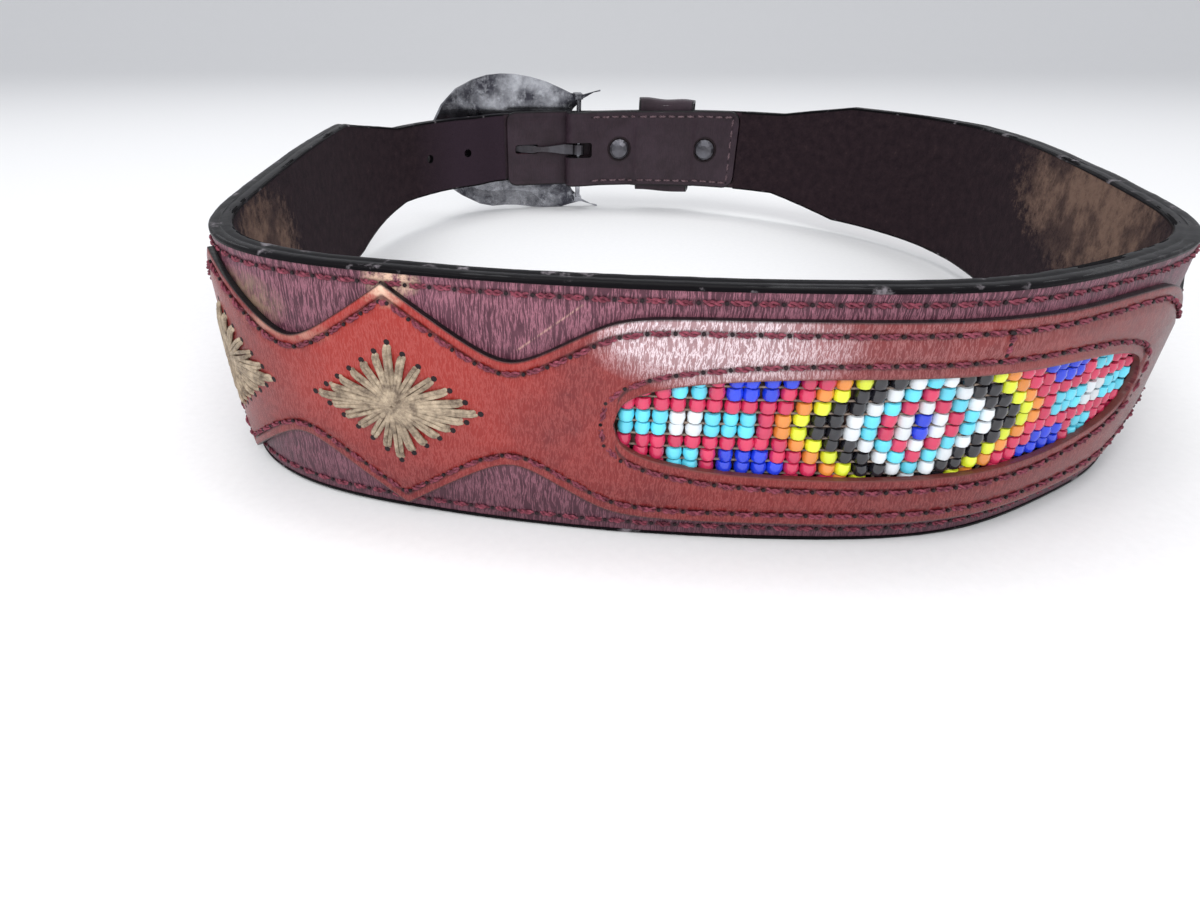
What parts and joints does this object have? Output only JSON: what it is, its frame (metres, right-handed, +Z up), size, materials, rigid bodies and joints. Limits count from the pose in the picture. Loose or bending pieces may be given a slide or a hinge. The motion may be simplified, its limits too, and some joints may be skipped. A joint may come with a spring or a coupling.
{
  "type": "beaded leather belt",
  "caption": "Fastened western leather belt standing on edge: scalloped overlay with a beaded window, stitched stars, lining, keeper, snaps and a domed plate buckle.",
  "frame": {"origin": "bottom centre of the fastened belt's bounding box, on the floor", "axes": "+Z up; -Y towards the beaded front; +X to the right of someone who looks at the beaded front"},
  "size_m": [0.2526, 0.3064, 0.0697],
  "materials": {
    "base_leather": "smooth plum leather with fine wrinkles and black painted edges",
    "overlay_leather": "polished red-brown leather, scuffed at its points",
    "lining_suede": "rough dark suede with tan worn patches",
    "beads": "opaque glossy glass seed beads",
    "star_thread": "taupe two-strand embroidery thread",
    "buckle_metal": "silver-grey cast metal, polished at the edges"
  },
  "bodies": {
    "root": {"base_strap": "base_leather", "lining": "lining_suede", "overlay": "overlay_leather", "bead_panel": "beads", "keeper": "base_leather", "buckle": "buckle_metal", "prong": "buckle_metal", "prong_guard": "base_leather", "snap_1": "buckle_metal", "snap_2": "buckle_metal", "star_left_1": "star_thread", "star_left_2": "star_thread", "star_right_1": "star_thread", "star_right_2": "star_thread"}
  },
  "joints": []
}
